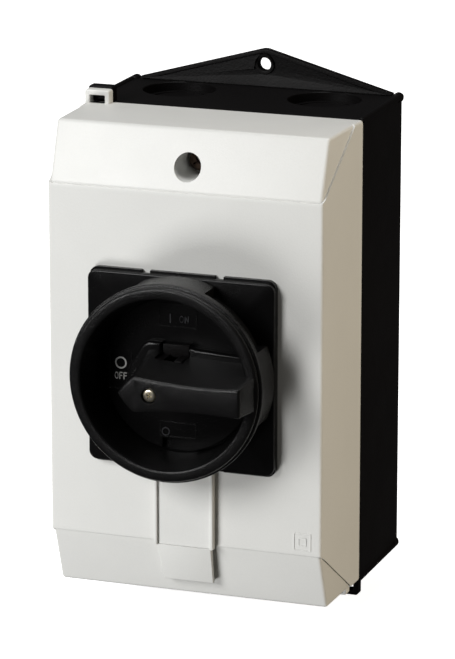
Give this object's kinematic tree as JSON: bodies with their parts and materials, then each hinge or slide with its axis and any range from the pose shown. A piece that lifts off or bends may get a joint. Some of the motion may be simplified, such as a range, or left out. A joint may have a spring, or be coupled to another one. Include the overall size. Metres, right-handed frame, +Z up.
{
  "type": "rotary isolator switch",
  "caption": "Wall-mounted insulated enclosure with a cam switch inside and a padlockable ring handle on the cover.",
  "frame": {"origin": "middle of the flat rear face that lies on the wall, on the axis of the switch shaft", "axes": "+X right as seen from the front, +Y into the wall, +Z up; the handle faces -Y"},
  "size_m": [0.1, 0.118, 0.1886],
  "materials": {
    "black_housing": "matt",
    "cover_grey": "fine matt",
    "black_satin": "satin, fine grain",
    "chamber_plastic": "matt",
    "detent_plastic": "matt",
    "cam_plastic": "satin",
    "seal_rubber": "matt",
    "zinc_steel": "blue zinc plate",
    "yellow_zinc": "yellow passivated zinc",
    "bronzed_steel": "dark bronzed",
    "spring_steel": "bright",
    "copper_alloy": "bright",
    "terminal_brass": "bright"
  },
  "bodies": {
    "base": {"base_box": "black_housing", "cover_gasket": "seal_rubber", "mounting_bridge": "zinc_steel", "mounting_screws": "zinc_steel", "lower_chamber": "chamber_plastic", "upper_chamber": "chamber_plastic", "chamber_lid": "chamber_plastic", "detent_housing": "detent_plastic", "top_plate": "zinc_steel", "tie_bolts": "zinc_steel", "line_terminals": "copper_alloy", "load_terminals": "copper_alloy", "terminal_clamps": "zinc_steel", "terminal_screws": "yellow_zinc", "contact_springs": "spring_steel", "detent_rollers": "spring_steel", "detent_springs": "spring_steel", "earth_terminal": "terminal_brass", "earth_screws": "yellow_zinc"},
    "rotor": {"switch_shaft": "spring_steel", "lower_cam": "cam_plastic", "upper_cam": "cam_plastic", "detent_wheel": "cam_plastic"},
    "bridge_1": {"contact_bridge_1": "copper_alloy", "bridge_plunger_1": "cam_plastic"},
    "bridge_2": {"contact_bridge_2": "copper_alloy", "bridge_plunger_2": "cam_plastic"},
    "bridge_3": {"contact_bridge_3": "copper_alloy", "bridge_plunger_3": "cam_plastic"},
    "bridge_4": {"contact_bridge_4": "copper_alloy", "bridge_plunger_4": "cam_plastic"},
    "cover_set": {"cover": "cover_grey", "cover_strip": "cover_grey", "cover_screws": "bronzed_steel", "screw_seals": "seal_rubber", "front_plate": "black_satin", "plate_gasket": "seal_rubber", "plate_screws": "zinc_steel", "legend_dial": "black_satin"},
    "handle_set": {"rotary_handle": "black_satin", "shaft_driver": "chamber_plastic", "handle_screw": "yellow_zinc", "shaft_o_ring": "seal_rubber", "retaining_ring": "spring_steel"},
    "slide": {"padlock_slide": "black_satin"}
  },
  "joints": [
    {"name": "cover_lift", "type": "slide", "parent": "base", "child": "cover_set", "axis": [0, -1, 0], "range_m": [0, 0.09]},
    {"name": "handle_turn", "type": "hinge", "parent": "cover_set", "child": "handle_set", "pos_m": [0, -0.1, 0], "axis": [0, 1, 0], "range_deg": [0, 90]},
    {"name": "slide_out", "type": "slide", "parent": "handle_set", "child": "slide", "axis": [0, 0, -1], "range_m": [0, 0.006]},
    {"name": "rotor_turn", "type": "hinge", "parent": "base", "child": "rotor", "pos_m": [0, -0.03, 0], "axis": [0, 1, 0], "range_deg": [0, 90]},
    {"name": "bridge_1_close", "type": "slide", "parent": "base", "child": "bridge_1", "axis": [-1, 0, 0], "range_m": [0, 0.003]},
    {"name": "bridge_2_close", "type": "slide", "parent": "base", "child": "bridge_2", "axis": [1, 0, 0], "range_m": [0, 0.003]},
    {"name": "bridge_3_close", "type": "slide", "parent": "base", "child": "bridge_3", "axis": [-1, 0, 0], "range_m": [0, 0.003]},
    {"name": "bridge_4_close", "type": "slide", "parent": "base", "child": "bridge_4", "axis": [1, 0, 0], "range_m": [0, 0.003]}
  ],
  "couplings": [
    {"joint": "rotor_turn", "follows": "handle_turn", "ratio": 1},
    {"joint": "bridge_1_close", "follows": "handle_turn", "m_per_rad": 0.0019},
    {"joint": "bridge_2_close", "follows": "handle_turn", "m_per_rad": 0.0019},
    {"joint": "bridge_3_close", "follows": "handle_turn", "m_per_rad": 0.0019},
    {"joint": "bridge_4_close", "follows": "handle_turn", "m_per_rad": 0.0019}
  ]
}
